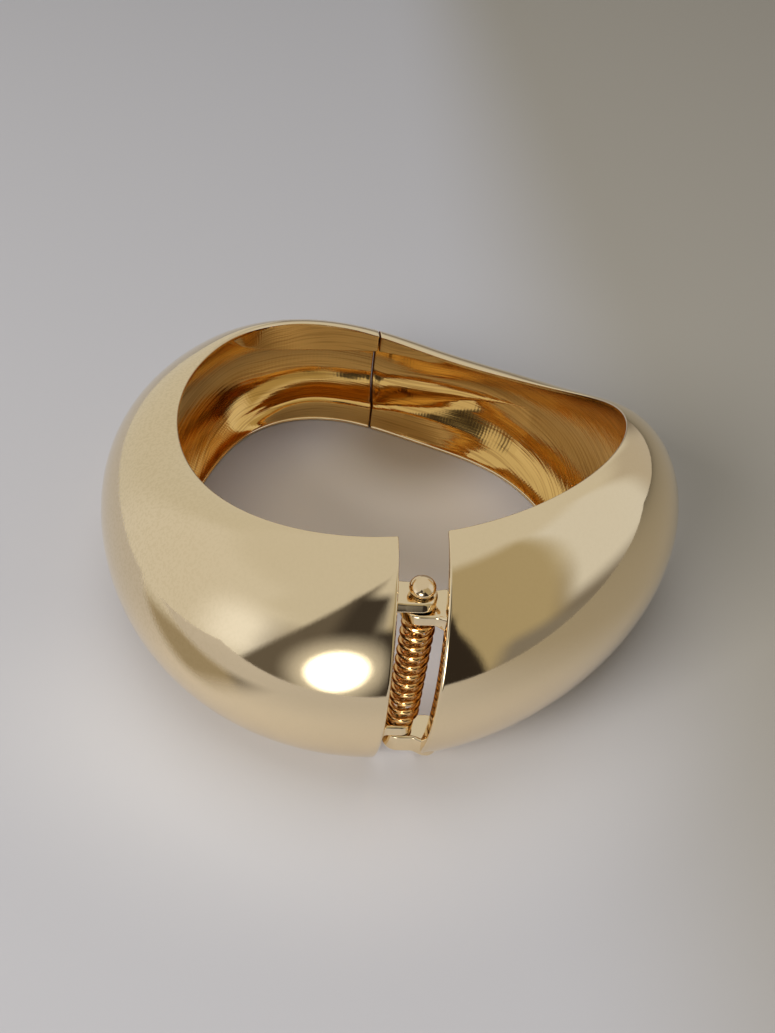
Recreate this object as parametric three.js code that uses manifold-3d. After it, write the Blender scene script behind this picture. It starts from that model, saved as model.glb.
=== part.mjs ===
// Spring-hinged bangle. Two hollow, domed half bands meet at the back and turn about an upright pin
// in the gap at the front. The wrist passes through along Z, and the bangle lies on its lower rim.
// Units are millimetres, with +Z up. Before the last shift, the hinge gap is at -Y on x = 0.
import * as THREE from 'three';
import { mergeVertices } from 'three/addons/utils/BufferGeometryUtils.js';
import Module from 'manifold-3d';

const wasm = await Module();
wasm.setup();

// ---------- driving dimensions ----------

// The band, one row every 30 degrees as seen from above, from the hinge round by the right side.
// radius is to the rim at the wrist, height is rim to rim, and bulge is how far the dome stands out.
const BAND = [
  { angle: 0, radius: 33.8, height: 30.6, bulge: 10.0 },
  { angle: 30, radius: 31.5, height: 32.3, bulge: 8.6 },
  { angle: 60, radius: 28.3, height: 30.8, bulge: 9.4 },
  { angle: 90, radius: 25.5, height: 24.7, bulge: 8.6 },
  { angle: 120, radius: 24.0, height: 18.4, bulge: 7.3 },
  { angle: 150, radius: 22.4, height: 16.2, bulge: 7.4 },
  { angle: 180, radius: 24.6, height: 16.6, bulge: 7.1 },
  { angle: 210, radius: 28.1, height: 17.7, bulge: 6.8 },
  { angle: 240, radius: 26.2, height: 20.2, bulge: 8.0 },
  { angle: 270, radius: 26.0, height: 21.9, bulge: 9.0 },
  { angle: 300, radius: 28.4, height: 23.5, bulge: 9.5 },
  { angle: 330, radius: 32.8, height: 27.3, bulge: 10.3 },
];
const BAND_STEPS = 72; // sections round the band
const DOME_POWER = 1.2; // how slowly the dome leaves the rim
const DOME_STEPS = 14; // points over the dome
const HOLLOW_STEPS = 10; // points over the hollow behind it
const WALL = 1.6; // the metal's thickness
const RIM_LAND = 0.5; // flat land along each rim
const RIM_DEPTH = 1.2; // height of the rim's face towards the wrist
const LIP_EXTRA = 1.4; // how much deeper the rims are at the back joint
const LIP_REACH = 45; // degrees either side of the joint over which the deeper rims fade

const HINGE_GAP = 4.8; // between the half bands at the front
const JOINT_GAP = 0.4; // between the half bands at the back

const PIN_Y = -38; // the pin's axis, on x = 0
const PIN_RADIUS = 0.5;
const PIN_HEAD_RADIUS = 1.25;
const PIN_HEAD_CENTRE = 0.5; // height of the ball's centre over its flat underside
const PIN_FOOT_RADIUS = 1.0;
const PIN_FOOT_HEIGHT = 0.5;
const RUNNING_GAP = 0.3; // between neighbouring pieces along the pin and round it

const LUG_RADIUS = 1.55; // round end of each lug
const LUG_ROOT_X = 6; // how far each lug runs into its half band
const LUG_ROOT_FRONT = 3.4; // how far forward its root reaches, into the wall
const LUG_ROOT_BACK = 1; // how far behind its tip the root's rear edge lies, against the wall
const LUG_NECK_X = 2; // where the round end starts to widen into the root

// The four lugs along the pin, top first, with the half band that carries each (-1 left, 1 right).
const LUGS = [
  { side: -1, bottom: 25.6, thickness: 1.1 },
  { side: 1, bottom: 23.9, thickness: 1.4 },
  { side: -1, bottom: 6.9, thickness: 1.3 },
  { side: 1, bottom: 4.4, thickness: 2.2 },
];

const SPRING_RADIUS = 1.4; // the coil's centre line
const SPRING_WIRE = 0.35; // radius of its wire
const SPRING_TURNS = 10.5;
const SPRING_OFFSET = 0.2; // the loose coil leans this far to the right of the pin
const SPRING_LEG = 2.4; // straight end of the wire, running back behind the coil
const SPRING_SIDES = 8;
const SPRING_STEPS_PER_TURN = 14;

const REACH = 60; // past the bangle on every side, for cutting tools

// ---------- solids: joining and cutting ----------

function solidFrom(geometry) {
  const bare = geometry.clone();
  bare.deleteAttribute('normal');
  bare.deleteAttribute('uv');
  const merged = mergeVertices(bare, 1e-4);
  return new wasm.Manifold(new wasm.Mesh({
    numProp: 3,
    vertProperties: new Float32Array(merged.attributes.position.array),
    triVerts: new Uint32Array(merged.index.array),
  }));
}

function geometryFrom(solid) {
  const mesh = solid.getMesh();
  const geometry = new THREE.BufferGeometry();
  geometry.setAttribute('position', new THREE.BufferAttribute(new Float32Array(mesh.vertProperties), 3));
  geometry.setIndex(new THREE.BufferAttribute(new Uint32Array(mesh.triVerts), 1));
  geometry.computeVertexNormals();
  return geometry;
}

// ---------- the band's form ----------

// A column of BAND at any angle in degrees: the smooth periodic curve through its rows.
function bandValue(column, degrees) {
  const rows = BAND.length;
  let sum = 0;
  for (const row of BAND) {
    const half = THREE.MathUtils.degToRad(degrees - row.angle) / 2;
    const near = Math.abs(Math.sin(half)) < 1e-9;
    sum += row[column] * (near ? 1 : Math.sin(rows * half) / (rows * Math.tan(half)));
  }
  return sum;
}

function rimPoint(degrees) {
  const angle = THREE.MathUtils.degToRad(degrees);
  const radius = bandValue('radius', degrees);
  return new THREE.Vector2(radius * Math.sin(angle), -radius * Math.cos(angle));
}

// The level direction straight out of the band, away from the wrist.
function outwardAt(degrees) {
  const along = rimPoint(degrees + 0.5).sub(rimPoint(degrees - 0.5)).normalize();
  return new THREE.Vector2(along.y, -along.x);
}

function lipAt(degrees) {
  const fromJoint = Math.abs(degrees - 180) / LIP_REACH;
  return fromJoint < 1 ? LIP_EXTRA * 0.5 * (1 + Math.cos(Math.PI * fromJoint)) : 0;
}

// Half of a rounded section, from the upper rim down to the lower one, as [outward, height] pairs.
function domeLine(start, depth, halfHeight, middle, steps) {
  const line = [];
  for (let i = 0; i <= steps; i += 1) {
    const turn = Math.PI * i / steps;
    const outward = start + (depth - start) * Math.sin(turn) ** DOME_POWER;
    line.push([outward, middle + halfHeight * Math.cos(turn)]);
  }
  return line;
}

function outerLine(degrees) {
  const middle = bandValue('height', degrees) / 2;
  const dome = domeLine(RIM_LAND, bandValue('bulge', degrees), middle, middle, DOME_STEPS);
  return [[0, 2 * middle], ...dome, [0, 0]];
}

function hollowLine(degrees) {
  const middle = bandValue('height', degrees) / 2;
  const halfHeight = middle - RIM_DEPTH - lipAt(degrees);
  return domeLine(0, bandValue('bulge', degrees) - WALL, halfHeight, middle, HOLLOW_STEPS);
}

// A closed ring swept round the band from the section that sectionAt gives at each angle.
function ringSolid(sectionAt) {
  const positions = [];
  const index = [];
  let count = 0;
  for (let i = 0; i < BAND_STEPS; i += 1) {
    const degrees = 360 * i / BAND_STEPS;
    const rim = rimPoint(degrees);
    const out = outwardAt(degrees);
    const section = sectionAt(degrees);
    count = section.length;
    for (const [outward, z] of section) {
      positions.push(rim.x + out.x * outward, rim.y + out.y * outward, z);
    }
  }
  for (let i = 0; i < BAND_STEPS; i += 1) {
    const here = i * count;
    const next = ((i + 1) % BAND_STEPS) * count;
    for (let j = 0; j < count; j += 1) {
      const k = (j + 1) % count;
      index.push(here + j, here + k, next + k, here + j, next + k, next + j);
    }
  }
  const geometry = new THREE.BufferGeometry();
  geometry.setAttribute('position', new THREE.Float32BufferAttribute(positions, 3));
  geometry.setIndex(index);
  return solidFrom(geometry);
}

const bandEnvelope = ringSolid(outerLine);
const bandShell = ringSolid((degrees) => [...outerLine(degrees), ...hollowLine(degrees).reverse()]);

// ---------- the two half bands ----------

// All space on one side of the hinge gap and the joint gap.
function sideRegion(side) {
  const outline = new THREE.Shape([
    new THREE.Vector2(side * REACH, -REACH),
    new THREE.Vector2(side * REACH, REACH),
    new THREE.Vector2(side * JOINT_GAP / 2, REACH),
    new THREE.Vector2(side * JOINT_GAP / 2, 0),
    new THREE.Vector2(side * HINGE_GAP / 2, 0),
    new THREE.Vector2(side * HINGE_GAP / 2, -REACH),
  ]);
  const block = new THREE.ExtrudeGeometry(outline, { depth: REACH, bevelEnabled: false });
  return solidFrom(block.translate(0, 0, -REACH / 4));
}

// A flat lug, with a round end bored for the pin and a root that widens into the wall of its half.
function lugSolid({ side, bottom, thickness }) {
  const outline = new THREE.Shape();
  outline.moveTo(side * LUG_ROOT_X, -LUG_ROOT_BACK);
  outline.lineTo(side * (LUG_NECK_X + 1), LUG_RADIUS);
  outline.lineTo(0, LUG_RADIUS);
  outline.absarc(0, 0, LUG_RADIUS, Math.PI / 2, -Math.PI / 2, side < 0);
  outline.lineTo(side * LUG_NECK_X, -LUG_RADIUS);
  const rootX = side * (LUG_NECK_X + 1);
  outline.quadraticCurveTo(rootX, -LUG_RADIUS, rootX, -LUG_ROOT_FRONT);
  outline.lineTo(side * LUG_ROOT_X, -LUG_ROOT_FRONT);
  outline.closePath();
  const options = { depth: thickness, bevelEnabled: false, curveSegments: 8 };
  const plate = new THREE.ExtrudeGeometry(outline, options);
  const bore = new THREE.CylinderGeometry(PIN_RADIUS + RUNNING_GAP, PIN_RADIUS + RUNNING_GAP, REACH, 20);
  bore.rotateX(Math.PI / 2);
  plate.translate(0, PIN_Y, bottom);
  bore.translate(0, PIN_Y, 0);
  return solidFrom(plate).intersect(bandEnvelope).subtract(solidFrom(bore));
}

function halfBandGeometry(side) {
  let half = bandShell.intersect(sideRegion(side));
  for (const lug of LUGS.filter((row) => row.side === side)) {
    half = half.add(lugSolid(lug));
  }
  return geometryFrom(half);
}

// ---------- the pin and its spring ----------

const pinHeadBottom = LUGS[0].bottom + LUGS[0].thickness + RUNNING_GAP;
const pinFootTop = LUGS[3].bottom - RUNNING_GAP;

function hingePinGeometry() {
  const footBottom = pinFootTop - PIN_FOOT_HEIGHT;
  const profile = [
    [0, footBottom],
    [PIN_FOOT_RADIUS, footBottom],
    [PIN_FOOT_RADIUS, pinFootTop],
    [PIN_RADIUS, pinFootTop],
    [PIN_RADIUS, pinHeadBottom],
  ];
  const ballStart = -Math.asin(PIN_HEAD_CENTRE / PIN_HEAD_RADIUS);
  const arcSteps = 10;
  for (let i = 0; i < arcSteps; i += 1) {
    const rise = ballStart + (Math.PI / 2 - ballStart) * i / arcSteps;
    const z = pinHeadBottom + PIN_HEAD_CENTRE + PIN_HEAD_RADIUS * Math.sin(rise);
    profile.push([PIN_HEAD_RADIUS * Math.cos(rise), z]);
  }
  profile.push([0, pinHeadBottom + PIN_HEAD_CENTRE + PIN_HEAD_RADIUS]);
  const turned = new THREE.LatheGeometry(profile.map(([r, z]) => new THREE.Vector2(r, z)), 20);
  turned.rotateX(Math.PI / 2);
  return geometryFrom(solidFrom(turned));
}

// The wire's centre line: a straight leg, the coil, and a straight leg, in the pin's own frame.
class SpringWire extends THREE.Curve {
  getPoint(t, target = new THREE.Vector3()) {
    const low = LUGS[2].bottom + LUGS[2].thickness + RUNNING_GAP + SPRING_WIRE;
    const high = LUGS[1].bottom - RUNNING_GAP - SPRING_WIRE;
    const coil = SPRING_TURNS * 2 * Math.PI * SPRING_RADIUS;
    const travelled = t * (coil + 2 * SPRING_LEG) - SPRING_LEG;
    const wound = THREE.MathUtils.clamp(travelled, 0, coil);
    const angle = Math.PI + wound / SPRING_RADIUS;
    const past = travelled - wound;
    const x = SPRING_RADIUS * Math.cos(angle) - past * Math.sin(angle);
    const y = SPRING_RADIUS * Math.sin(angle) + past * Math.cos(angle);
    return target.set(SPRING_OFFSET + x, y, low + (high - low) * wound / coil);
  }
}

function hingeSpringGeometry() {
  const section = new THREE.Shape();
  section.absarc(0, 0, SPRING_WIRE, 0, 2 * Math.PI);
  return new THREE.ExtrudeGeometry(section, {
    steps: Math.round(SPRING_TURNS * SPRING_STEPS_PER_TURN),
    curveSegments: SPRING_SIDES / 2, // two sides for each
    extrudePath: new SpringWire(),
  });
}

// ---------- materials and the model ----------

function goldPlate(colour, roughness) {
  return new THREE.MeshStandardMaterial({ color: colour, roughness, metalness: 1 });
}

function addPiece(group, name, geometry, material) {
  const mesh = new THREE.Mesh(geometry, material);
  mesh.name = name;
  group.add(mesh);
  return mesh;
}

const group = new THREE.Group();
addPiece(group, 'left_half', halfBandGeometry(-1), goldPlate(0xd8bf9a, 0.08));
addPiece(group, 'right_half', halfBandGeometry(1), goldPlate(0xd8bf9a, 0.08));
addPiece(group, 'hinge_pin', hingePinGeometry(), goldPlate(0xe2bd86, 0.15)).position.set(0, PIN_Y, 0);
addPiece(group, 'hinge_spring', hingeSpringGeometry(), goldPlate(0xb98045, 0.25)).position.set(0, PIN_Y, 0);

// The origin is the middle of the footprint, on the surface that the lower rim lies on.
const middle = new THREE.Box3().setFromObject(group).getCenter(new THREE.Vector3());
group.position.set(-middle.x, -middle.y, 0);

export default group;
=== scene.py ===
import math

import bmesh
import bpy
import numpy as np
from mathutils import Matrix, Vector


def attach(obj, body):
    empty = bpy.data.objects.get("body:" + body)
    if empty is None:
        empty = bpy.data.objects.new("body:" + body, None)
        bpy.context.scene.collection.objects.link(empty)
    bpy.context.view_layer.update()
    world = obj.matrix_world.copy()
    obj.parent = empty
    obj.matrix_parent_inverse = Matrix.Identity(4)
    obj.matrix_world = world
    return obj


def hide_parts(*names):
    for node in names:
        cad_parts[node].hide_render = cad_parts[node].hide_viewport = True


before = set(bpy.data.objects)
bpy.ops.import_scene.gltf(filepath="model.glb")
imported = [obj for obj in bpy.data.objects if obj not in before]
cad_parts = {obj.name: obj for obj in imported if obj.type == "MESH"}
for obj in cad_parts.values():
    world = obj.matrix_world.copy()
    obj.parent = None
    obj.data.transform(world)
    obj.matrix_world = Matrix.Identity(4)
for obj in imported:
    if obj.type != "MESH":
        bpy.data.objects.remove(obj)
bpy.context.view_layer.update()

# ---- Camera ----
# The view is from in front of the hinge, a little to its left, down over the rim into the
# wrist opening.
CAMERA_PLACE = (-0.015102, -0.106979, 0.100113)
CAMERA_AZIMUTH = math.radians(-8.285)
CAMERA_ELEVATION = math.radians(40.337)
CAMERA_ROLL = math.radians(8.173)
CAMERA_LENS = 38.335

camera_data = bpy.data.cameras.new("camera")
camera_data.lens = CAMERA_LENS
camera_data.clip_start = 0.005
camera_data.clip_end = 20
camera = bpy.data.objects.new("camera", camera_data)
bpy.context.scene.collection.objects.link(camera)
bpy.context.scene.camera = camera
level_turn = Matrix.Rotation(CAMERA_AZIMUTH, 4, "Z")
tilt = Matrix.Rotation(math.pi / 2 - CAMERA_ELEVATION, 4, "X")
roll = Matrix.Rotation(CAMERA_ROLL, 4, "Z")
camera.matrix_world = Matrix.Translation(CAMERA_PLACE) @ level_turn @ tilt @ roll


# ---- Floor and light ----
# A pale table in a soft warm room, with light and shade painted on it round the bangle.
# Polished metal also shows what lies past the table's near edge: a darker end of the room,
# and in it one broad soft window.
FLOOR_HALF_SIZE = 1.6
FLOOR_COLOUR = (0.52, 0.51, 0.525, 1)
# Painted shade: the table is painted darker and browner towards the right of the bangle.
SHADED_COLOUR = (0.39, 0.36, 0.31, 1)
SHADE_STARTS_X = 0.012
SHADE_FULL_X = 0.056
# Painted light: a pool of light painted on the table in front of the bangle, where the gold throws
# light back.
GLOWING_COLOUR = (0.69, 0.67, 0.665, 1)
GLOW_MIDDLE = (-0.006, -0.004)
GLOW_FULL_WITHIN = 0.026
GLOW_GONE_BY = 0.056
GLOW_STARTS_Y = -0.006
GLOW_FULL_Y = -0.040
# Painted light and shade on the table inside and near the bangle.
PAINTED_LIGHT_AND_SHADE_SPOTS = (
    # middle across and along, how far out it is full, how far out it is gone (m), colour
    # painted warm light thrown back by the halves' insides
    (0, 0.008, 0.010, 0.030, (0.64, 0.56, 0.46, 1)),
    # painted light let in by the hinge gap
    (0.005, -0.018, 0.0, 0.019, (0.86, 0.85, 0.88, 1)),
    # painted shadow under the joint
    (0.006, 0.027, 0.003, 0.017, (0.34, 0.27, 0.19, 1)),
)
TABLE_LEFT_X = -0.085
TABLE_LEFT_SOFT = 0.004
TABLE_EDGE_Y = -0.066
TABLE_EDGE_SOFT = 0.003
TABLE_EDGE_TURN_X = 0.020
TABLE_EDGE_SLOPE = 0.31
# A strip short of the table's left edge where the metal shows the darker room instead of the table.
DARK_STRIP_LEAN = 0.5
DARK_STRIP_NEAR_SIDE = (-0.070, -0.061)
DARK_STRIP_FAR_SIDE = (-0.044, -0.051)
DARK_STRIP_RIGHT_END = (-0.024, -0.036)
SKY_BANDS = (
    # height above the horizon, from -1 straight down to 1 straight up, and colour
    (-1.00, (0.10, 0.085, 0.07, 1)),
    (-0.10, (0.15, 0.125, 0.10, 1)),
    (0.08, (0.26, 0.235, 0.205, 1)),
    (0.34, (0.605, 0.59, 0.55, 1)),
    (1.00, (0.60, 0.585, 0.545, 1)),
)
SKY_PATCHES = (
    # name, from and to (degrees round from the front, right being positive), from and to
    # (degrees above the horizon), rise of the top edge to the right, softness and colour
    ("shaded low wall", -230, -50, -90, -20, 0, 4, (0.33, 0.285, 0.21, 1)),
    ("side wall", -230, -54, -22, 40, 0, 6, (0.585, 0.57, 0.52, 1)),
    ("pale near wall", -130, -54, -22, 40, 0, 8, (0.65, 0.64, 0.615, 1)),
    ("lit side wall", -72, -45, -18, 16, 0, 12, (0.90, 0.92, 0.97, 1)),
    ("far corner", 108, 150, -90, 34, 0, 10, (0.47, 0.44, 0.40, 1)),
    ("far side wall", 66, 112, -10, 52, 0, 7, (0.66, 0.67, 0.69, 1)),
    ("shaded ceiling", 2, 66, -30, 58, 0, 7, (0.405, 0.355, 0.24, 1)),
    ("low furniture", 48, 120, -70, -14, 0, 5, (0.22, 0.205, 0.19, 1)),
    ("dim left corner", -58, -14, -60, 14, 2.0, 5, (0.125, 0.11, 0.095, 1)),
    ("dark front", -21, -2, -60, 45, 0, 5, (0.05, 0.043, 0.038, 1)),
    ("dark low front", -6, 24, -60, 18, 0, 5, (0.05, 0.043, 0.038, 1)),
    ("dark right corner", 14, 50, -60, -1, -2.0, 4, (0.03, 0.024, 0.02, 1)),
)
WINDOW_MIDDLE = (-13.5, -13)
WINDOW_HALF_SIZE = (12.5, 15.5)
WINDOW_GLOW = (0.78, 0.76, 0.72, 1)
WINDOW_GLOW_EDGE = (0.7, 2.1)
WINDOW_LIGHT = (6.0, 5.9, 5.7, 1)
WINDOW_LIGHT_EDGE = (0.45, 1.20)
ROOM_LIGHT = 0.30
STUDIO_COLOUR = (0.70, 0.70, 0.71, 1)
SOFTBOXES = (
    # name, place, what it points at, size (m), power (W), colour
    ("window light", (-0.36, -0.40, 0.30), (0, -0.05, 0), (0.30, 0.24), 3.2, (1, 0.985, 0.97)),
    ("top light", (-0.20, 0.10, 1.40), (0, 0, 0), (1.2, 1.2), 8.0, (0.98, 0.99, 1)),
)


def new_material(name):
    """A material with its node tree and its main shader."""
    material = bpy.data.materials.new(name)
    material.use_nodes = True
    shader = material.node_tree.nodes["Principled BSDF"]
    return material, material.node_tree, shader


def add_node(tree, kind, **settings):
    """Adds a node with its settings."""
    node = tree.nodes.new(kind)
    for key, value in settings.items():
        setattr(node, key, value)
    return node


def fill_socket(tree, socket, value):
    """Links another socket to this one, or sets a plain value."""
    if isinstance(value, bpy.types.NodeSocket):
        tree.links.new(value, socket)
    else:
        socket.default_value = value


def math_node(tree, operation, first, second=0.0):
    """One sum worked on two values or sockets."""
    node = add_node(tree, "ShaderNodeMath", operation=operation)
    fill_socket(tree, node.inputs[0], first)
    fill_socket(tree, node.inputs[1], second)
    return node.outputs[0]


def smooth_step(tree, value, start, stop, low=0.0, high=1.0):
    """A soft change from low to high as the value goes from start to stop."""
    node = add_node(tree, "ShaderNodeMapRange", interpolation_type="SMOOTHSTEP")
    fill_socket(tree, node.inputs["Value"], value)
    fill_socket(tree, node.inputs["From Min"], start)
    fill_socket(tree, node.inputs["From Max"], stop)
    node.inputs["To Min"].default_value = low
    node.inputs["To Max"].default_value = high
    return node.outputs["Result"]


def mix_colour(tree, factor, first, second):
    """Goes from the first colour to the second as the factor goes from 0 to 1."""
    node = add_node(tree, "ShaderNodeMix", data_type="RGBA")
    fill_socket(tree, node.inputs["Factor"], factor)
    fill_socket(tree, node.inputs["A"], first)
    fill_socket(tree, node.inputs["B"], second)
    return node.outputs["Result"]


def axes_of(tree, output):
    """Across, along and up, of a place on a surface or of a direction in the sky."""
    place = add_node(tree, "ShaderNodeTexCoord")
    axes = add_node(tree, "ShaderNodeSeparateXYZ")
    tree.links.new(place.outputs[output], axes.inputs["Vector"])
    return axes.outputs["X"], axes.outputs["Y"], axes.outputs["Z"]


def distance_from(tree, across, along, middle, reach=(1, 1)):
    """How far a place lies from a middle, each way measured against its own reach."""
    across = math_node(tree, "DIVIDE", math_node(tree, "SUBTRACT", across, middle[0]), reach[0])
    along = math_node(tree, "DIVIDE", math_node(tree, "SUBTRACT", along, middle[1]), reach[1])
    across = math_node(tree, "POWER", across, 2.0)
    along = math_node(tree, "POWER", along, 2.0)
    return math_node(tree, "SQRT", math_node(tree, "ADD", across, along))


bpy.ops.object.select_all(action="DESELECT")
bpy.ops.mesh.primitive_plane_add(size=2 * FLOOR_HALF_SIZE)
floor = bpy.context.object
floor.name = "floor"
floor_material, tree, shader = new_material("pale table")
shader.inputs["Roughness"].default_value = 0.9
shader.inputs["Specular IOR Level"].default_value = 0.1
floor_x, floor_y = axes_of(tree, "Object")[:2]

# Where the table ends, and a strip short of its edge where the metal sees past the table
# to the darker room, a darker streak in the table's reflection.
past_turn = math_node(tree, "SUBTRACT", floor_x, TABLE_EDGE_TURN_X)
slant = math_node(tree, "MULTIPLY", math_node(tree, "MAXIMUM", past_turn, 0.0), TABLE_EDGE_SLOPE)
edge_y = math_node(tree, "ADD", slant, TABLE_EDGE_Y)
past_edge = math_node(tree, "SUBTRACT", edge_y, floor_y)
clear_to_glossy = smooth_step(tree, past_edge, 0.0, TABLE_EDGE_SOFT)
past_left = smooth_step(tree, floor_x, TABLE_LEFT_X, TABLE_LEFT_X - TABLE_LEFT_SOFT)
clear_to_glossy = math_node(tree, "MAXIMUM", clear_to_glossy, past_left)
lean = math_node(tree, "ADD", math_node(tree, "MULTIPLY", floor_x, DARK_STRIP_LEAN), floor_y)
dark_strip = smooth_step(tree, lean, *DARK_STRIP_FAR_SIDE)
dark_strip = math_node(tree, "MULTIPLY", dark_strip, smooth_step(tree, lean, *DARK_STRIP_NEAR_SIDE))
dark_strip = math_node(tree, "MULTIPLY", dark_strip, smooth_step(tree, floor_x, *DARK_STRIP_RIGHT_END))
clear_to_glossy = math_node(tree, "MAXIMUM", clear_to_glossy, dark_strip)

# The table's painted light and shade: painted shade to the right, a painted pool of light
# in front, and warmer painted light with a painted shadow inside the bangle.
shaded = smooth_step(tree, floor_x, SHADE_STARTS_X, SHADE_FULL_X)
tone = mix_colour(tree, shaded, FLOOR_COLOUR, SHADED_COLOUR)
from_glow = distance_from(tree, floor_x, floor_y, GLOW_MIDDLE)
glowing = smooth_step(tree, floor_y, GLOW_STARTS_Y, GLOW_FULL_Y)
in_glow = smooth_step(tree, from_glow, GLOW_FULL_WITHIN, GLOW_GONE_BY, 1, 0)
tone = mix_colour(tree, math_node(tree, "MULTIPLY", glowing, in_glow), tone, GLOWING_COLOUR)
# Each spot paints light or shade onto the table.
for middle_x, middle_y, full, gone, colour in PAINTED_LIGHT_AND_SHADE_SPOTS:
    from_spot = distance_from(tree, floor_x, floor_y, (middle_x, middle_y))
    tone = mix_colour(tree, smooth_step(tree, from_spot, full, gone, 1, 0), tone, colour)
tree.links.new(tone, shader.inputs["Base Color"])

# Past its edge, and in that strip, the table is clear to what the metal reflects, and to
# nothing else.
rays = add_node(tree, "ShaderNodeLightPath")
open_part = math_node(tree, "MULTIPLY", clear_to_glossy, rays.outputs["Is Glossy Ray"])
clear = add_node(tree, "ShaderNodeBsdfTransparent")
either = add_node(tree, "ShaderNodeMixShader")
tree.links.new(open_part, either.inputs["Fac"])
tree.links.new(shader.outputs["BSDF"], either.inputs[1])
tree.links.new(clear.outputs["BSDF"], either.inputs[2])
tree.links.new(either.outputs["Shader"], tree.nodes["Material Output"].inputs["Surface"])
floor.data.materials.append(floor_material)

world = bpy.data.worlds.new("soft room")
bpy.context.scene.world = world
world.use_nodes = True
sky = world.node_tree
sky_x, sky_y, sky_z = axes_of(sky, "Generated")
ramp = add_node(sky, "ShaderNodeValToRGB")
level = math_node(sky, "MULTIPLY", math_node(sky, "ADD", sky_z, 1.0), 0.5)
sky.links.new(level, ramp.inputs["Fac"])
while len(ramp.color_ramp.elements) < len(SKY_BANDS):
    ramp.color_ramp.elements.new(0.5)
for element, (height, colour) in zip(ramp.color_ramp.elements, SKY_BANDS):
    element.position = (height + 1) / 2
    element.color = colour
around = math_node(sky, "ARCTAN2", sky_x, math_node(sky, "MULTIPLY", sky_y, -1))
around = math_node(sky, "MULTIPLY", around, math.degrees(1))
above = math_node(sky, "MULTIPLY", math_node(sky, "ARCSINE", sky_z), math.degrees(1))
sky_colour = ramp.outputs["Color"]
for name, left, right, low, high, rise, soft, colour in SKY_PATCHES:
    from_middle = math_node(sky, "SUBTRACT", around, (left + right) / 2)
    top = math_node(sky, "SUBTRACT", above, math_node(sky, "MULTIPLY", from_middle, rise))
    mask = smooth_step(sky, around, left - soft, left + soft)
    for edge in (
        smooth_step(sky, around, right - soft, right + soft, 1, 0),
        smooth_step(sky, above, low - soft, low + soft),
        smooth_step(sky, top, high - soft, high + soft, 1, 0),
    ):
        mask = math_node(sky, "MULTIPLY", mask, edge)
    sky_colour = mix_colour(sky, mask, sky_colour, colour)
from_window = distance_from(sky, around, above, WINDOW_MIDDLE, WINDOW_HALF_SIZE)
glow = smooth_step(sky, from_window, *WINDOW_GLOW_EDGE, 1, 0)
sky_colour = mix_colour(sky, glow, sky_colour, WINDOW_GLOW)
lit = smooth_step(sky, from_window, *WINDOW_LIGHT_EDGE, 1, 0)
sky_colour = mix_colour(sky, lit, sky_colour, WINDOW_LIGHT)
# The room lights the table only dimly, and the camera sees a plain studio in its place.
rays = add_node(sky, "ShaderNodeLightPath")
dimmed = math_node(sky, "MULTIPLY", rays.outputs["Is Diffuse Ray"], 1 - ROOM_LIGHT)
sky_colour = mix_colour(sky, rays.outputs["Is Camera Ray"], sky_colour, STUDIO_COLOUR)
sky.links.new(sky_colour, sky.nodes["Background"].inputs["Color"])
sky.links.new(math_node(sky, "SUBTRACT", 1.0, dimmed), sky.nodes["Background"].inputs["Strength"])


def add_softbox(name, place, aim, size, power, colour):
    """A soft lamp that is itself seen neither directly nor in the metal."""
    data = bpy.data.lights.new(name, "AREA")
    data.shape = "RECTANGLE"
    data.size, data.size_y = size
    data.energy = power
    data.color = colour
    lamp = bpy.data.objects.new(name, data)
    bpy.context.scene.collection.objects.link(lamp)
    turn = (Vector(aim) - Vector(place)).to_track_quat("-Z", "Y")
    lamp.matrix_world = Matrix.Translation(place) @ turn.to_matrix().to_4x4()
    lamp.visible_camera = False
    lamp.visible_glossy = False
    return lamp


for softbox in SOFTBOXES:
    add_softbox(*softbox)
bpy.context.scene.view_settings.view_transform = "Standard"


# ---- Left half of the bangle ----
# The left half is a hollow cast shell, domed and mirror polished outside. It ends in a flat
# cut at the hinge and another at the back, and carries two lugs bored for the pin.
# Sizes are in millimetres, and MM turns them into metres.
MM = 0.001
BAND = (
    # angle from the hinge round by the right, radius to the rim, height, bulge of the dome (mm)
    (0, 33.8, 30.6, 10.0),
    (30, 31.5, 32.3, 8.6),
    (60, 28.3, 30.8, 9.4),
    (90, 25.5, 24.7, 8.6),
    (120, 24.0, 18.4, 7.3),
    (150, 22.4, 16.2, 7.4),
    (180, 24.6, 16.6, 7.1),
    (210, 28.1, 17.7, 6.8),
    (240, 26.2, 20.2, 8.0),
    (270, 26.0, 21.9, 9.0),
    (300, 28.4, 23.5, 9.5),
    (330, 32.8, 27.3, 10.3),
)
RADIUS, HEIGHT, BULGE = 1, 2, 3
# The middle that the band is drawn about, and how far ahead of it the pin stands.
MIDDLE_X = 0.0998
MIDDLE_Y = 5.627
PIN_AHEAD_OF_MIDDLE = 38
# The gaps between the halves, the wall, and the form of the section and of its edges.
HINGE_GAP = 4.8
JOINT_GAP = 0.16
WALL = 1.6
HINGE_WALL = 2.5
HINGE_WALL_REACH = 9
DOME_POWER = 1.2
RIM_LAND = 0.32
RIM_ROUND = 0.2
RIM_FACE = 0.5
SHOULDER = 0.28
SHOULDER_CREEP = 0.01
LIP_STEP = 0.3
LIP_FACE_START = 0.06
LEDGE_FLAT = 0.2
LEAST_FILLET = 0.05
UPPER_LIP_ROUND = 0.3
LOWER_LIP_ROUND = 1.0
FILLET = 3.0
EDGE_ROUND = 0.16
JOINT_ROUND = 0.24
HINGE_ROUND = 0.42
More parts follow.
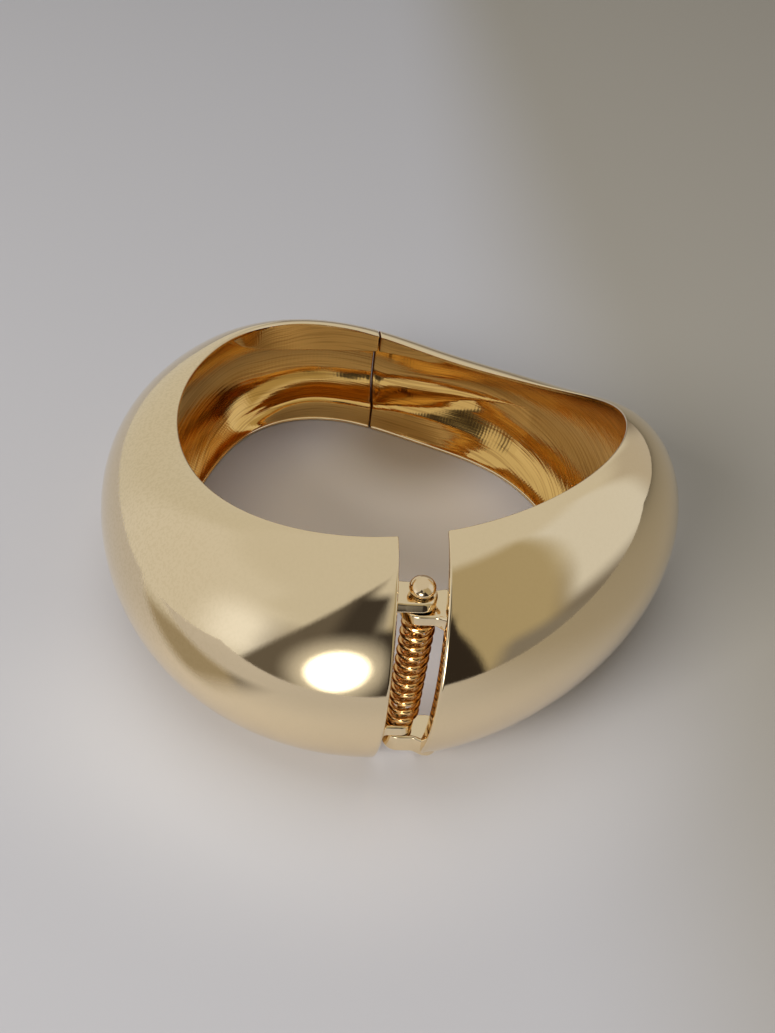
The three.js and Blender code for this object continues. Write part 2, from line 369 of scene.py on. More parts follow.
# How finely each stretch of the section, and the length of a half, is divided.
DOME_STEPS = 44
CORNER_STEPS = 4
SHOULDER_STEPS = 5
LIP_FACE_STEPS = 5
LIP_ROUND_STEPS = 9
LIP_STEPS = 18
LIP_CROWDING = 1.4
HOLLOW_STEPS = 44
HOLLOW_CROWDING = 1.5
EDGE_STEPS = 4
STATIONS = 170
# Rings of faces at the joint that are painted dark, as painted shade of the narrow gap.
JOINT_SHADE_RINGS = 2
CUT_SAMPLES = 260
NEAR_HINGE = (-8, 40)
NEAR_JOINT = (192, 140)
MITRE_LIMIT = 1.5
LEFT_LIPS = (
    # angle from the joint, upper lip's height and hold, lower lip's height and hold
    (0, 2.9, 1, 4.2, 1),
    (10, 4.1, 1, 3.9, 1),
    (20, 4.7, 1, 3.9, 1),
    (28, 4.7, 1, 3.3, 1),
    (37, 3.9, 1, 2.2, 0.5),
    (44, 2.7, 1, 1.7, 0),
    (50, 1.9, 0, 1.7, 0),
)
LEFT_LUGS = (
    # bottom, thickness, radius of the end, how far forward the root reaches, how far it flares,
    # how far the foot of its front leans out
    (25.6, 1.1, 1.6, 0.0, 0.1, 0.26),
    (6.9, 1.3, 1.55, 1.9, 0.1, 0.26),
)
LUG_REACH = 3.1
LUG_BEVEL = 0.26
FLARE_START = 1.4
FLARE_LENGTH = 1.5
FLARE_CUTS = 7
BORE_RADIUS = 0.8
BORE_LENGTH = 60
BORE_MIDDLE = 20

PIN_X = MIDDLE_X
PIN_Y = MIDDLE_Y - PIN_AHEAD_OF_MIDDLE


def band_value(column, degrees):
    """A column of the band's table at any angle, as one smooth wave round the wrist."""
    total = 0
    for row in BAND:
        half = np.radians(degrees - row[0]) / 2
        near = np.abs(np.sin(half)) < 1e-9
        slope = np.where(near, 1, len(BAND) * np.tan(half))
        total = total + row[column] * np.where(near, 1, np.sin(len(BAND) * half) / slope)
    return total


def rim_point(degrees):
    """Where the rim stands in plan, from the middle that the band is drawn about."""
    radius = band_value(RADIUS, degrees)
    angle = np.radians(degrees)
    return radius * np.sin(angle), -radius * np.cos(angle)


def outward_at(degrees):
    """The direction in plan that is square to the rim."""
    before = rim_point(degrees - 0.5)
    after = rim_point(degrees + 0.5)
    x, y = after[1] - before[1], before[0] - after[0]
    length = np.hypot(x, y)
    return x / length, y / length


def value_along(rows, column, at):
    """A column of a short table at any place along its first column, as a smooth curve."""
    places = np.array([row[0] for row in rows], float)
    values = np.array([row[column] for row in rows], float)
    slopes = np.gradient(values, places)
    left = np.clip(np.searchsorted(places, at) - 1, 0, len(rows) - 2)
    span = places[left + 1] - places[left]
    t = np.clip((at - places[left]) / span, 0, 1)
    start = values[left] * (1 + 2 * t) * (1 - t) ** 2 + slopes[left] * span * t * (1 - t) ** 2
    end = values[left + 1] * t * t * (3 - 2 * t) - slopes[left + 1] * span * t * t * (1 - t)
    return start + end


def hollow_reach(degrees):
    """How far out the middle of the hollow lies. The wall thickens to a bead at the hinge."""
    from_hinge = 180 - np.abs(degrees - 180)
    bead = np.clip(1 - from_hinge / HINGE_WALL_REACH, 0, 1)
    wall = WALL + (HINGE_WALL - WALL) * bead * bead * (3 - 2 * bead)
    return band_value(BULGE, degrees) - wall


def hollow_depth(rise, height, reach):
    """How far out the hollow wall lies at this height above the nearer rim."""
    half = height / 2 - RIM_FACE
    turn = np.arccos(np.clip(1 - (rise - RIM_FACE) / half, -1, 1))
    return reach * np.sin(turn) ** DOME_POWER


def fillet_width(height, reach, lip):
    """How wide the rounding between the ledge and the wall can be."""
    room = hollow_depth(lip, height, reach) - LIP_STEP - LOWER_LIP_ROUND - LEDGE_FLAT
    return np.clip(room, LEAST_FILLET, FILLET)


def lip_point(step, height, reach, lip, hold, corner, fillet):
    """One point of the wall from a rim's inner corner to the back of the lip's ledge."""
    rise = RIM_FACE + (lip - RIM_FACE) * (step / LIP_STEPS) ** LIP_CROWDING
    plain = hollow_depth(rise, height, reach)
    face_start = RIM_FACE + LIP_FACE_START
    ledge_start = LIP_STEP + corner
    ledge_end = hollow_depth(lip, height, reach) - fillet
    past_face = step - LIP_FACE_STEPS
    if step == 0:
        out, up = 0 * lip, RIM_FACE + 0 * lip
    elif past_face <= 0:
        part = (step - 1) / (LIP_FACE_STEPS - 1)
        out, up = LIP_STEP + 0 * lip, face_start + (lip - corner - face_start) * part
    elif past_face <= LIP_ROUND_STEPS:
        turn = math.pi / 2 * past_face / LIP_ROUND_STEPS
        out = LIP_STEP + corner * (1 - math.cos(turn)) + 0 * lip
        up = lip - corner * (1 - math.sin(turn))
    else:
        part = (past_face - LIP_ROUND_STEPS) / (LIP_STEPS - LIP_FACE_STEPS - LIP_ROUND_STEPS)
        out, up = ledge_start + (ledge_end - ledge_start) * part, lip
    return plain + (out - plain) * hold, rise + (up - rise) * hold


def section_point(index, degrees, lips):
    """One point of the band's section, as its distance out from the rim and its height."""
    height = band_value(HEIGHT, degrees)
    bulge = band_value(BULGE, degrees)
    reach = hollow_reach(degrees)
    from_joint = np.abs(degrees - 180)
    upper = value_along(lips, 1, from_joint)
    upper_hold = np.clip(value_along(lips, 2, from_joint), 0, 1)
    lower = value_along(lips, 3, from_joint)
    lower_hold = np.clip(value_along(lips, 4, from_joint), 0, 1)
    if index <= DOME_STEPS:
        turn = math.pi * index / DOME_STEPS
        out = RIM_LAND + (bulge - RIM_LAND) * abs(math.sin(turn)) ** DOME_POWER
        return out, height / 2 * (1 + math.cos(turn))
    index -= DOME_STEPS + 1
    if index <= CORNER_STEPS:
        turn = math.pi / 2 * index / CORNER_STEPS
        out = RIM_ROUND * (1 - math.sin(turn)) + 0 * height
        return out, RIM_ROUND * (1 - math.cos(turn)) + 0 * height
    index -= CORNER_STEPS + 1
    if index < SHOULDER_STEPS:
        turn = math.pi / 2 * index / SHOULDER_STEPS
        out = SHOULDER * (1 - math.cos(turn)) + 0 * height
        return out, RIM_FACE - SHOULDER * (1 - math.sin(turn)) + 0 * height
    index -= SHOULDER_STEPS
    if index < LIP_STEPS:
        fillet = fillet_width(height, reach, lower)
        out, up = lip_point(index, height, reach, lower, lower_hold, LOWER_LIP_ROUND, fillet)
        return np.maximum(out, SHOULDER + SHOULDER_CREEP * index), up
    index -= LIP_STEPS
    if index <= HOLLOW_STEPS:
        half = height / 2 - RIM_FACE
        low_turn = np.arccos(1 - (lower - RIM_FACE) / half)
        high_turn = math.pi - np.arccos(1 - (upper - RIM_FACE) / half)
        turn = low_turn + (high_turn - low_turn) * (index / HOLLOW_STEPS) ** HOLLOW_CROWDING
        rise = height / 2 - half * np.cos(turn)
        left = 1 - np.clip((rise - lower) / FILLET, 0, 1)
        round_off = 1 - np.sqrt(1 - left * left)
        out = reach * np.sin(turn) ** DOME_POWER
        return out - fillet_width(height, reach, lower) * lower_hold * round_off, rise
    index -= HOLLOW_STEPS
    if index <= LIP_STEPS:
        step = LIP_STEPS - index
        out, up = lip_point(step, height, reach, upper, upper_hold, UPPER_LIP_ROUND, 0)
        return out, height - up
    turn = math.pi / 2 * (index - LIP_STEPS - 1) / CORNER_STEPS
    out = RIM_ROUND * (1 - math.cos(turn)) + 0 * height
    return out, height - RIM_ROUND * (1 - math.sin(turn))


# Which material each face takes, and where along the section each stretch begins.
OUTSIDE, INSIDE, JOINT_SHADE = 0, 1, 2
LOWER_CORNER = DOME_STEPS + 1
HOLLOW_START = LOWER_CORNER + CORNER_STEPS + SHOULDER_STEPS + 1
HOLLOW_END = HOLLOW_START + 2 * LIP_STEPS + HOLLOW_STEPS
SECTION_POINTS = HOLLOW_END + CORNER_STEPS + 2


def end_angles(side, index, lips, gap, nearly, inward):
    """The angles at which this line of the section is each given distance from the cut."""
    if side < 0:
        nearly = [360 - angle for angle in nearly]
    degrees = np.linspace(*nearly, CUT_SAMPLES)
    out = section_point(index, degrees, lips)[0]
    x = side * (rim_point(degrees)[0] + outward_at(degrees)[0] * out)
    order = np.argsort(x)
    return np.interp(gap / 2 + np.array(inward), x[order], degrees[order])


def rounding_at(index, at_hinge):
    """Radius of the softened edge of a cut, which is fuller at the hinge, away from the rims."""
    if not at_hinge:
        return JOINT_ROUND
    if index <= DOME_STEPS:
        part = math.sin(math.pi * index / DOME_STEPS)
    elif HOLLOW_START <= index <= HOLLOW_END:
        part = math.sin(math.pi * (index - HOLLOW_START) / (HOLLOW_END - HOLLOW_START))
    else:
        part = 0
    return EDGE_ROUND + (HINGE_ROUND - EDGE_ROUND) * min(2 * part * part, 1)


def shell_points(side, lips):
    """Every point of a half band, as [station, line of the section, axis]."""
    turns = np.linspace(0, math.pi / 2, EDGE_STEPS + 1)
    angles = np.zeros((STATIONS + 1, SECTION_POINTS))
    outs = np.zeros_like(angles)
    ups = np.zeros_like(angles)
    rounds = np.array([[rounding_at(j, end) for j in range(SECTION_POINTS)] for end in (True, False)])
    for j in range(SECTION_POINTS):
        hinge_edge = rounds[0, j] * (1 - np.cos(turns))
        joint_edge = rounds[1, j] * (1 - np.cos(turns))
        start = end_angles(side, j, lips, HINGE_GAP, NEAR_HINGE, hinge_edge)
        stop = end_angles(side, j, lips, JOINT_GAP, NEAR_JOINT, joint_edge)
        middle = np.linspace(start[-1], stop[-1], STATIONS + 1 - 2 * EDGE_STEPS)
        angles[:, j] = np.concatenate([start[:-1], middle, stop[:-1][::-1]])
        outs[:, j], ups[:, j] = section_point(j, angles[:, j], lips)
    for k in range(EDGE_STEPS):
        for radius, station in zip(rounds, (k, STATIONS - k)):
            line = np.stack([outs[station], ups[station]], 1)
            ahead = np.roll(line, -1, 0) - line
            ahead /= np.linalg.norm(ahead, axis=1)[:, None]
            lean = ahead + np.roll(ahead, 1, 0)
            lean /= np.linalg.norm(lean, axis=1)[:, None]
            stretch = 1 / np.maximum((lean * ahead).sum(1), 1 / MITRE_LIMIT)
            sink = radius * (1 - math.sin(turns[k])) * stretch
            outs[station] += lean[:, 1] * sink
            ups[station] -= lean[:, 0] * sink
    rim_x, rim_y = rim_point(angles)
    out_x, out_y = outward_at(angles)
    points = np.stack([rim_x + out_x * outs, rim_y + out_y * outs, ups], 2)
    for k in range(EDGE_STEPS):
        inset = rounds * (1 - math.cos(turns[k]))
        points[k, :, 0] = side * (HINGE_GAP / 2 + inset[0])
        points[STATIONS - k, :, 0] = side * (JOINT_GAP / 2 + inset[1])
    points[:, :, 0] += MIDDLE_X
    points[:, :, 1] += MIDDLE_Y
    return points * MM


def select_edges(obj, test):
    """Selects the edges that pass a test, in edit mode."""
    edit = bmesh.from_edit_mesh(obj.data)
    edit.select_mode = {"EDGE"}
    for edge in edit.edges:
        edge.select_set(test(edge))
    edit.select_flush_mode()
    bmesh.update_edit_mesh(obj.data)


def rounds_a_flat_face(edge):
    """Whether an edge lies between a lug's flat top or bottom and its side."""
    leans = sorted(abs(face.normal.z) for face in edge.link_faces)
    return leans[0] < 0.5 < 0.9 < leans[-1]


def is_upright(edge):
    """Whether an edge runs straight up the drum."""
    low, high = (vert.co for vert in edge.verts)
    return abs(low.z - high.z) > 1e-7 and math.hypot(low.x - high.x, low.y - high.y) < 1e-6


def half_shell(name, side, lips):
    """A drum as many-sided as the section, cut into stations, each set on the band's form."""
    bpy.ops.object.select_all(action="DESELECT")
    bpy.ops.mesh.primitive_cylinder_add(vertices=SECTION_POINTS, radius=1, depth=1)
    shell = bpy.context.object
    shell.name = name
    bpy.ops.object.mode_set(mode="EDIT")
    bpy.context.tool_settings.mesh_select_mode = (False, True, False)
    for cuts in (1, STATIONS // 2 - 1):
        bpy.ops.mesh.select_all(action="DESELECT")
        select_edges(shell, is_upright)
        bpy.ops.mesh.subdivide(number_cuts=cuts)
    bpy.ops.object.mode_set(mode="OBJECT")
    mesh = shell.data
    points = shell_points(side, lips)
    lines, stations = [], []
    for vert in mesh.vertices:
        turn = math.atan2(vert.co.y, vert.co.x) / (2 * math.pi)
        lines.append(round(turn * SECTION_POINTS) % SECTION_POINTS)
        stations.append(round((vert.co.z + 0.5) * STATIONS))
    for vert, j, k in zip(mesh.vertices, lines, stations):
        vert.co = points[k, j]
    steps = np.linalg.norm(np.diff(points[:, HOLLOW_START], axis=0), axis=1)
    along = np.concatenate([[0], np.cumsum(steps)])
    steps = np.linalg.norm(np.diff(points, axis=1), axis=2)
    around = np.concatenate([np.zeros((STATIONS + 1, 1)), np.cumsum(steps, axis=1)], 1)
    uv = mesh.uv_layers.active or mesh.uv_layers.new(name="UVMap")
    for face in mesh.polygons:
        ours = [lines[v] for v in face.vertices]
        face.material_index = OUTSIDE
        # Faces next to the joint take the dark material that is painted shade.
        if min(stations[v] for v in face.vertices) >= STATIONS - JOINT_SHADE_RINGS:
            face.material_index = JOINT_SHADE
        elif len(ours) == 4 and HOLLOW_START <= min(ours) < max(ours) <= HOLLOW_END + 1:
            face.material_index = INSIDE
        for corner, v in zip(face.loop_indices, face.vertices):
            uv.data[corner].uv = (along[stations[v]], around[stations[v], lines[v]])
    bpy.ops.object.mode_set(mode="EDIT")
    bpy.ops.mesh.select_all(action="SELECT")
    bpy.ops.mesh.normals_make_consistent(inside=False)
    bpy.ops.object.mode_set(mode="OBJECT")
    return shell


def apply_boolean(piece, other, operation):
    """Joins the other shape to the piece, or cuts it away."""
    modifier = piece.modifiers.new(operation, "BOOLEAN")
    modifier.operation = operation
    modifier.solver = "EXACT"
    modifier.object = other
    bpy.ops.object.select_all(action="DESELECT")
    bpy.context.view_layer.objects.active = piece
    piece.select_set(True)
    bpy.ops.object.modifier_apply(modifier=modifier.name)
    bpy.data.objects.remove(other, do_unlink=True)


def lug(side, bottom, thickness, radius, root, rise, lean):
    """A flat ear round the pin, drawn out sideways into its wall, with softened edges."""
    bpy.ops.object.select_all(action="DESELECT")
    middle = bottom + thickness / 2
    place = (PIN_X * MM, PIN_Y * MM, middle * MM)
    bpy.ops.mesh.primitive_cylinder_add(
        vertices=64, radius=radius * MM, depth=thickness * MM, location=place
    )
    ear = bpy.context.object
    bpy.ops.object.transform_apply(location=True, rotation=False, scale=False)
    bpy.ops.object.mode_set(mode="EDIT")
    bpy.context.tool_settings.mesh_select_mode = (True, False, False)
    bpy.ops.mesh.select_all(action="DESELECT")
    edit = bmesh.from_edit_mesh(ear.data)
    for vert in edit.verts:
        vert.select_set(side * (vert.co.x - PIN_X * MM) > 1e-6)
    edit.select_flush_mode()
    bpy.ops.transform.translate(value=(side * LUG_REACH * MM, 0, 0))
    for k in range(FLARE_CUTS + 1):
        bpy.ops.mesh.select_all(action="SELECT")
        reach = FLARE_START + FLARE_LENGTH * k / FLARE_CUTS
        cut = ((PIN_X + side * reach) * MM, 0, 0)
        bpy.ops.mesh.bisect(plane_co=cut, plane_no=(1, 0, 0))
    select_edges(ear, rounds_a_flat_face)
    bpy.ops.mesh.bevel(offset=LUG_BEVEL * MM, segments=4, affect="EDGES", clamp_overlap=True)
    edit = bmesh.from_edit_mesh(ear.data)
    for vert in edit.verts:
        reach = side * (vert.co.x / MM - PIN_X)
        part = min(max((reach - FLARE_START) / FLARE_LENGTH, 0), 1)
        grown = part * part * (3 - 2 * part)
        forward = max((PIN_Y - vert.co.y / MM) / radius, 0)
        upward = (vert.co.z / MM - middle) / (thickness / 2)
        vert.co.y -= (grown * root + lean * (1 - upward) / 2) * forward * MM
        vert.co.z += grown * rise * upward * MM
    bmesh.update_edit_mesh(ear.data)
    bpy.ops.object.mode_set(mode="OBJECT")
    return ear


def add_lugs(piece, side, rows):
    """Joins the lugs to a half band, and bores them for the pin."""
    for row in rows:
        apply_boolean(piece, lug(side, *row), "UNION")
    bpy.ops.object.select_all(action="DESELECT")
    bpy.ops.mesh.primitive_cylinder_add(
        vertices=48,
        radius=BORE_RADIUS * MM,
        depth=BORE_LENGTH * MM,
        location=(PIN_X * MM, PIN_Y * MM, BORE_MIDDLE * MM),
    )
    apply_boolean(piece, bpy.context.object, "DIFFERENCE")


def finish_piece(piece, name, angle=40):
    """Names a piece and smooths it, with its flat faces kept flat."""
    piece.name = name
    piece.data.name = name
    bpy.ops.object.select_all(action="DESELECT")
    bpy.context.view_layer.objects.active = piece
    piece.select_set(True)
    bpy.ops.object.shade_smooth_by_angle(angle=math.radians(angle))
    weighted = piece.modifiers.new("flat faces stay flat", "WEIGHTED_NORMAL")
    weighted.keep_sharp = True
    bpy.ops.object.modifier_apply(modifier=weighted.name)


def plating_group():
    """Slow drifts of tone and fine pits that every plated finish shares."""
    group = bpy.data.node_groups.new("plating", "ShaderNodeTree")
    face = group.interface
    face.new_socket("Light", in_out="INPUT", socket_type="NodeSocketColor")
    face.new_socket("Deep", in_out="INPUT", socket_type="NodeSocketColor")
    face.new_socket("Grain", in_out="INPUT", socket_type="NodeSocketFloat")
    face.new_socket("Color", in_out="OUTPUT", socket_type="NodeSocketColor")
    face.new_socket("Smudge", in_out="OUTPUT", socket_type="NodeSocketFloat")
    face.new_socket("Peel", in_out="OUTPUT", socket_type="NodeSocketFloat")
    given = add_node(group, "NodeGroupInput")
    result = add_node(group, "NodeGroupOutput")
    place = add_node(group, "ShaderNodeTexCoord")
    drift = add_node(group, "ShaderNodeTexNoise")
    drift.inputs["Scale"].default_value = 60
    drift.inputs["Detail"].default_value = 3
    group.links.new(place.outputs["Object"], drift.inputs["Vector"])
    tone = add_node(group, "ShaderNodeMix", data_type="RGBA")
    group.links.new(drift.outputs["Fac"], tone.inputs["Factor"])
    group.links.new(given.outputs["Light"], tone.inputs["A"])
    group.links.new(given.outputs["Deep"], tone.inputs["B"])
    group.links.new(tone.outputs["Result"], result.inputs["Color"])
    smear = add_node(group, "ShaderNodeTexNoise")
    smear.inputs["Scale"].default_value = 240
    smear.inputs["Detail"].default_value = 5
    smear.inputs["Distortion"].default_value = 0.6
    group.links.new(place.outputs["Object"], smear.inputs["Vector"])
    group.links.new(smear.outputs["Fac"], result.inputs["Smudge"])
    peel = add_node(group, "ShaderNodeTexNoise")
    peel.inputs["Detail"].default_value = 2
    group.links.new(given.outputs["Grain"], peel.inputs["Scale"])
    group.links.new(place.outputs["Object"], peel.inputs["Vector"])
    group.links.new(peel.outputs["Fac"], result.inputs["Peel"])
    return group


plating = plating_group()
SMUDGE_RANGE = (0.35, 0.70)


def gold(name, light, deep, grain, rough_low, rough_high):
    """Gold plate with its own two tones, fineness of grain and range of roughness."""
    material, tree, shader = new_material(name)
    shader.inputs["Metallic"].default_value = 1
    coat = add_node(tree, "ShaderNodeGroup")
    coat.node_tree = plating
    coat.inputs["Light"].default_value = light
    coat.inputs["Deep"].default_value = deep
    coat.inputs["Grain"].default_value = grain
    tree.links.new(coat.outputs["Color"], shader.inputs["Base Color"])
    rough = add_node(tree, "ShaderNodeMapRange")
    rough.inputs["From Min"].default_value = SMUDGE_RANGE[0]
    rough.inputs["From Max"].default_value = SMUDGE_RANGE[1]
    rough.inputs["To Min"].default_value = rough_low
    rough.inputs["To Max"].default_value = rough_high
    tree.links.new(coat.outputs["Smudge"], rough.inputs["Value"])
    tree.links.new(rough.outputs["Result"], shader.inputs["Roughness"])
    return material, tree, shader, coat


def bump(tree, shader, height, depth):
    """Fine relief of the given depth, in metres."""
    node = add_node(tree, "ShaderNodeBump")
    node.inputs["Strength"].default_value = 1
    node.inputs["Distance"].default_value = depth
    tree.links.new(height, node.inputs["Height"])
    tree.links.new(node.outputs["Normal"], shader.inputs["Normal"])


PEELED_X = (-0.014, -0.030)
PEEL_ELSEWHERE = 0.12
PEEL_DEPTH = 0.9e-5
PITS = (0.46, 0.60)
PITTED_SHARE = 0.4
PITTED_COLOUR = (0.76, 0.61, 0.37, 1)
polish, tree, shader, coat = gold(
    "mirror gold", (0.93, 0.775, 0.52, 1), (0.90, 0.73, 0.47, 1), 3000, 0.035, 0.075
)
shell_x = axes_of(tree, "Object")[0]
peeled = smooth_step(tree, shell_x, *PEELED_X, PEEL_ELSEWHERE, 1)
bump(tree, shader, math_node(tree, "MULTIPLY", coat.outputs["Peel"], peeled), PEEL_DEPTH)
pitted = math_node(tree, "MULTIPLY", smooth_step(tree, coat.outputs["Peel"], *PITS), peeled)
pitted = math_node(tree, "MULTIPLY", pitted, PITTED_SHARE)
mottled = mix_colour(tree, pitted, coat.outputs["Color"], PITTED_COLOUR)
tree.links.new(mottled, shader.inputs["Base Color"])

BRUSH_SCALE = (70, 3200, 1)
BRUSH_DEPTH = 2.0e-5
RIPPLE_SCALE = 700
RIPPLE_SHARE = 0.15
WORN_LINES = (0.48, 0.66)
WORN_SHARE = 0.5
WORN_COLOUR = (0.46, 0.25, 0.07, 1)
inside, tree, shader, coat = gold(
    "brushed gold inside", (0.92, 0.62, 0.22, 1), (0.79, 0.47, 0.14, 1), 900, 0.07, 0.14
)
layout = add_node(tree, "ShaderNodeUVMap", uv_map="UVMap")
stretch = add_node(tree, "ShaderNodeMapping")
stretch.inputs["Scale"].default_value = BRUSH_SCALE
tree.links.new(layout.outputs["UV"], stretch.inputs["Vector"])
lines = add_node(tree, "ShaderNodeTexNoise", noise_dimensions="2D")
lines.inputs["Scale"].default_value = 1
lines.inputs["Detail"].default_value = 3
tree.links.new(stretch.outputs["Vector"], lines.inputs["Vector"])
chatter = add_node(tree, "ShaderNodeTexWave", wave_type="BANDS", bands_direction="X")
chatter.inputs["Scale"].default_value = RIPPLE_SCALE
chatter.inputs["Distortion"].default_value = 1.5
chatter.inputs["Detail"].default_value = 1
tree.links.new(layout.outputs["UV"], chatter.inputs["Vector"])
ripples = math_node(tree, "MULTIPLY", chatter.outputs["Fac"], RIPPLE_SHARE)
bump(tree, shader, math_node(tree, "ADD", lines.outputs["Fac"], ripples), BRUSH_DEPTH)
worn = smooth_step(tree, lines.outputs["Fac"], *WORN_LINES)
worn = math_node(tree, "MULTIPLY", worn, WORN_SHARE)
streaked = mix_colour(tree, worn, coat.outputs["Color"], WORN_COLOUR)
tree.links.new(streaked, shader.inputs["Base Color"])

# The joint's end faces and the rings next to them are painted dark brown and dulled: painted shade in
# place of the dark of the narrow, deep gap between the halves.
JOINT_FACE_DEPTH = 1.0e-5
joint_shade, tree, shader, coat = gold(
    "dull joint face painted in shade", (0.46, 0.21, 0.07, 1), (0.34, 0.14, 0.04, 1), 900, 0.42, 0.58
)
bump(tree, shader, coat.outputs["Peel"], JOINT_FACE_DEPTH)


def half_bangle(name, side, lips, lugs):
    """A whole half: its shell, polished outside and brushed inside, and its bored lugs."""
    half = half_shell(name, side, lips)
    for finish in (polish, inside, joint_shade):
        half.data.materials.append(finish)
    add_lugs(half, side, lugs)
    finish_piece(half, name)
    return half


left_half = half_bangle("left_shell", -1, LEFT_LIPS, LEFT_LUGS)
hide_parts("left_half")
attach(left_half, "base")


# ---- Right half of the bangle ----
# The right half is the same kind of shell, wider near the hinge. Its lugs lie under the left
# ones, and a soft ridge runs up inside it from the lower lip at the joint.
RIGHT_LIPS = (
    # angle from the joint, upper lip's height and hold, lower lip's height and hold
    (0, 2.9, 1, 4.2, 1),
    (8, 2.3, 1, 5.2, 0.95),
    (20, 1.8, 0.9, 6.3, 0.75),
    (30, 1.7, 0, 7.3, 0.5),
    (40, 1.7, 0, 8.4, 0.28),
    (47, 1.7, 0, 9.2, 0.14),
    (53, 1.7, 0, 9.7, 0),
    (80, 1.7, 0, 1.7, 0),
)
RIGHT_LUGS = (
    # the same columns as the left half's lugs
    (23.9, 1.4, 1.9, 0.6, 0.3, -0.08),
    (4.4, 2.2, 1.6, 0.6, 0.05, 0.2),
)

right_half = half_bangle("right_shell", 1, RIGHT_LIPS, RIGHT_LUGS)
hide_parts("right_half")
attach(right_half, "swinging_half")


# ---- Hinge pin ----
# One plain pin through the four lugs holds the halves together. It has a polished ball on
# top and a small riveted foot below.
BALL_RADIUS = 1.33
BALL_SQUASH = 0.74
BALL_CENTRE = 27.45
BALL_BOTTOM = 26.85
SHAFT_RADIUS = 0.5
FOOT_TOP = 4.1
FOOT_HEIGHT = 0.5
FOOT_RADIUS = 1.0
PIN_EDGE_ROUND = 0.12
BRIGHT_DEPTH = 2.0e-6

bpy.ops.object.select_all(action="DESELECT")
bpy.ops.mesh.primitive_uv_sphere_add(
    segments=64,
    ring_count=40,
    radius=BALL_RADIUS * MM,
    location=(PIN_X * MM, PIN_Y * MM, BALL_CENTRE * MM),
    scale=(1, 1, BALL_SQUASH),
)
pin = bpy.context.object
bpy.ops.object.transform_apply(location=True, rotation=False, scale=True)
bpy.ops.object.mode_set(mode="EDIT")
bpy.context.tool_settings.mesh_select_mode = (False, False, True)
bpy.ops.mesh.select_all(action="SELECT")
bpy.ops.mesh.bisect(
    plane_co=(0, 0, BALL_BOTTOM * MM), plane_no=(0, 0, 1), clear_inner=True, use_fill=True
)


def select_faces(obj, test):
    """Selects the faces that pass a test, in edit mode."""
    edit = bmesh.from_edit_mesh(obj.data)
    edit.select_mode = {"FACE"}
    for face in edit.faces:
        face.select_set(test(face))
    edit.select_flush_mode()
    bmesh.update_edit_mesh(obj.data)


def scale_about_pin(factor):
    """Scales what is selected in plan, about the pin's own line."""
    bpy.ops.transform.resize(
        value=(factor, factor, 1), center_override=(PIN_X * MM, PIN_Y * MM, 0)
    )


select_faces(pin, lambda face: face.normal.z < -0.99 and len(face.verts) > 8)
seat_radius = math.sqrt(BALL_RADIUS**2 - ((BALL_CENTRE - BALL_BOTTOM) / BALL_SQUASH) ** 2)
bpy.ops.mesh.extrude_region_move()
scale_about_pin(SHAFT_RADIUS / seat_radius)
bpy.ops.mesh.extrude_region_move(
    TRANSFORM_OT_translate={"value": (0, 0, (FOOT_TOP - BALL_BOTTOM) * MM)}
)
bpy.ops.mesh.extrude_region_move()
scale_about_pin(FOOT_RADIUS / SHAFT_RADIUS)
bpy.ops.mesh.extrude_region_move(TRANSFORM_OT_translate={"value": (0, 0, -FOOT_HEIGHT * MM)})
bpy.ops.mesh.select_all(action="SELECT")
bpy.ops.mesh.normals_make_consistent(inside=False)
bpy.ops.object.mode_set(mode="OBJECT")
rounding = pin.modifiers.new("soft edges", "BEVEL")
rounding.width = PIN_EDGE_ROUND * MM
rounding.segments = 3
rounding.limit_method = "ANGLE"
rounding.angle_limit = math.radians(50)
bpy.ops.object.modifier_apply(modifier=rounding.name)

bright, tree, shader, coat = gold(
    "bright gold", (0.93, 0.76, 0.52, 1), (0.88, 0.68, 0.42, 1), 1500, 0.05, 0.11
)
bump(tree, shader, coat.outputs["Peel"], BRIGHT_DEPTH)
pin.data.materials.append(bright)
finish_piece(pin, "ball_pin")
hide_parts("hinge_pin")
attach(pin, "base")


# ---- Hinge spring ----
# The spring is gold-washed wire wound loosely round the pin. Its two straight ends run back
# and bear on the inside of the halves.
COIL_OFF_PIN = 0.2
COIL_RADIUS = 1.4
WIRE_RADIUS = 0.35
COIL_LOW = 8.85
COIL_HIGH = 23.25
HALF_TURNS = 21
LEG = 2.4
GLINT_PLACE = (-0.36, -0.285, 0.25)
GLINT_AIM = (0, -0.032, 0.015)
GLINT_SIZE = (0.45, 0.45)
GLINT_POWER = 14.0

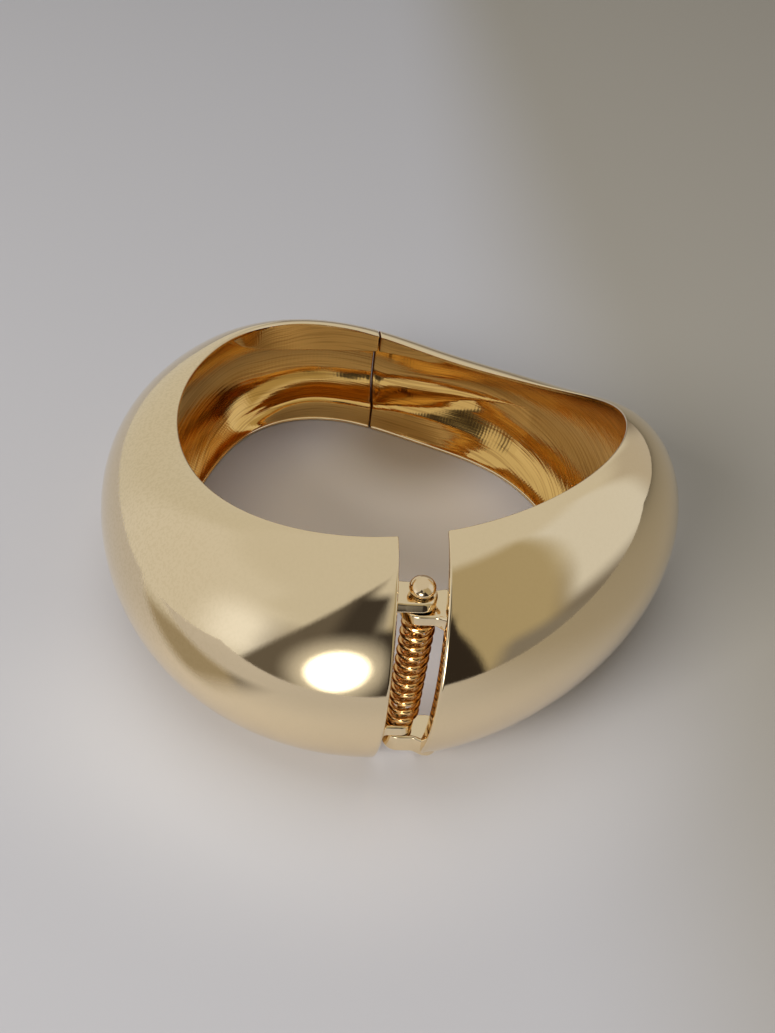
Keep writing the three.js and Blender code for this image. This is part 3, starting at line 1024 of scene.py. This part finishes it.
bpy.ops.object.select_all(action="DESELECT")
bpy.ops.mesh.primitive_circle_add(
    vertices=16,
    radius=WIRE_RADIUS * MM,
    location=(-COIL_RADIUS * MM, 0, 0),
    rotation=(math.pi / 2, 0, 0),
)
spring = bpy.context.object
bpy.ops.object.transform_apply(location=True, rotation=True, scale=False)
winding = spring.modifiers.new("winding", "SCREW")
winding.axis = "Z"
winding.angle = math.pi
winding.screw_offset = (COIL_HIGH - COIL_LOW) / HALF_TURNS * MM
winding.iterations = HALF_TURNS
winding.steps = 24
winding.render_steps = 24
winding.use_normal_calculate = True
winding.use_merge_vertices = False
bpy.ops.object.modifier_apply(modifier=winding.name)
bpy.ops.object.mode_set(mode="EDIT")
bpy.context.tool_settings.mesh_select_mode = (False, True, False)
for end in (-1, 1):
    bpy.ops.mesh.select_all(action="DESELECT")
    select_edges(spring, lambda edge: edge.is_boundary and edge.verts[0].co.x * end > 0)
    bpy.ops.mesh.extrude_region_move(TRANSFORM_OT_translate={"value": (0, LEG * MM, 0)})
    bpy.ops.mesh.edge_face_add()
bpy.ops.mesh.select_all(action="SELECT")
bpy.ops.mesh.normals_make_consistent(inside=False)
bpy.ops.transform.translate(value=((PIN_X + COIL_OFF_PIN) * MM, PIN_Y * MM, COIL_LOW * MM))
bpy.ops.object.mode_set(mode="OBJECT")

wire, tree, shader, coat = gold(
    "spring gold", (0.88, 0.58, 0.26, 1), (0.74, 0.42, 0.15, 1), 2600, 0.06, 0.12
)
bump(tree, shader, coat.outputs["Peel"], BRIGHT_DEPTH)
spring.data.materials.append(wire)
spring_alone = bpy.data.collections.new("spring alone")
spring_alone.objects.link(spring)
# A lamp that lights the spring alone gives each turn its small highlight.
glint = add_softbox("spring glint", GLINT_PLACE, GLINT_AIM, GLINT_SIZE, GLINT_POWER, (1, 1, 1))
glint.visible_glossy = True
glint.light_linking.receiver_collection = spring_alone
glint.light_linking.blocker_collection = spring_alone
finish_piece(spring, "coil_spring", 60)
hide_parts("hinge_spring")
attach(spring, "base")
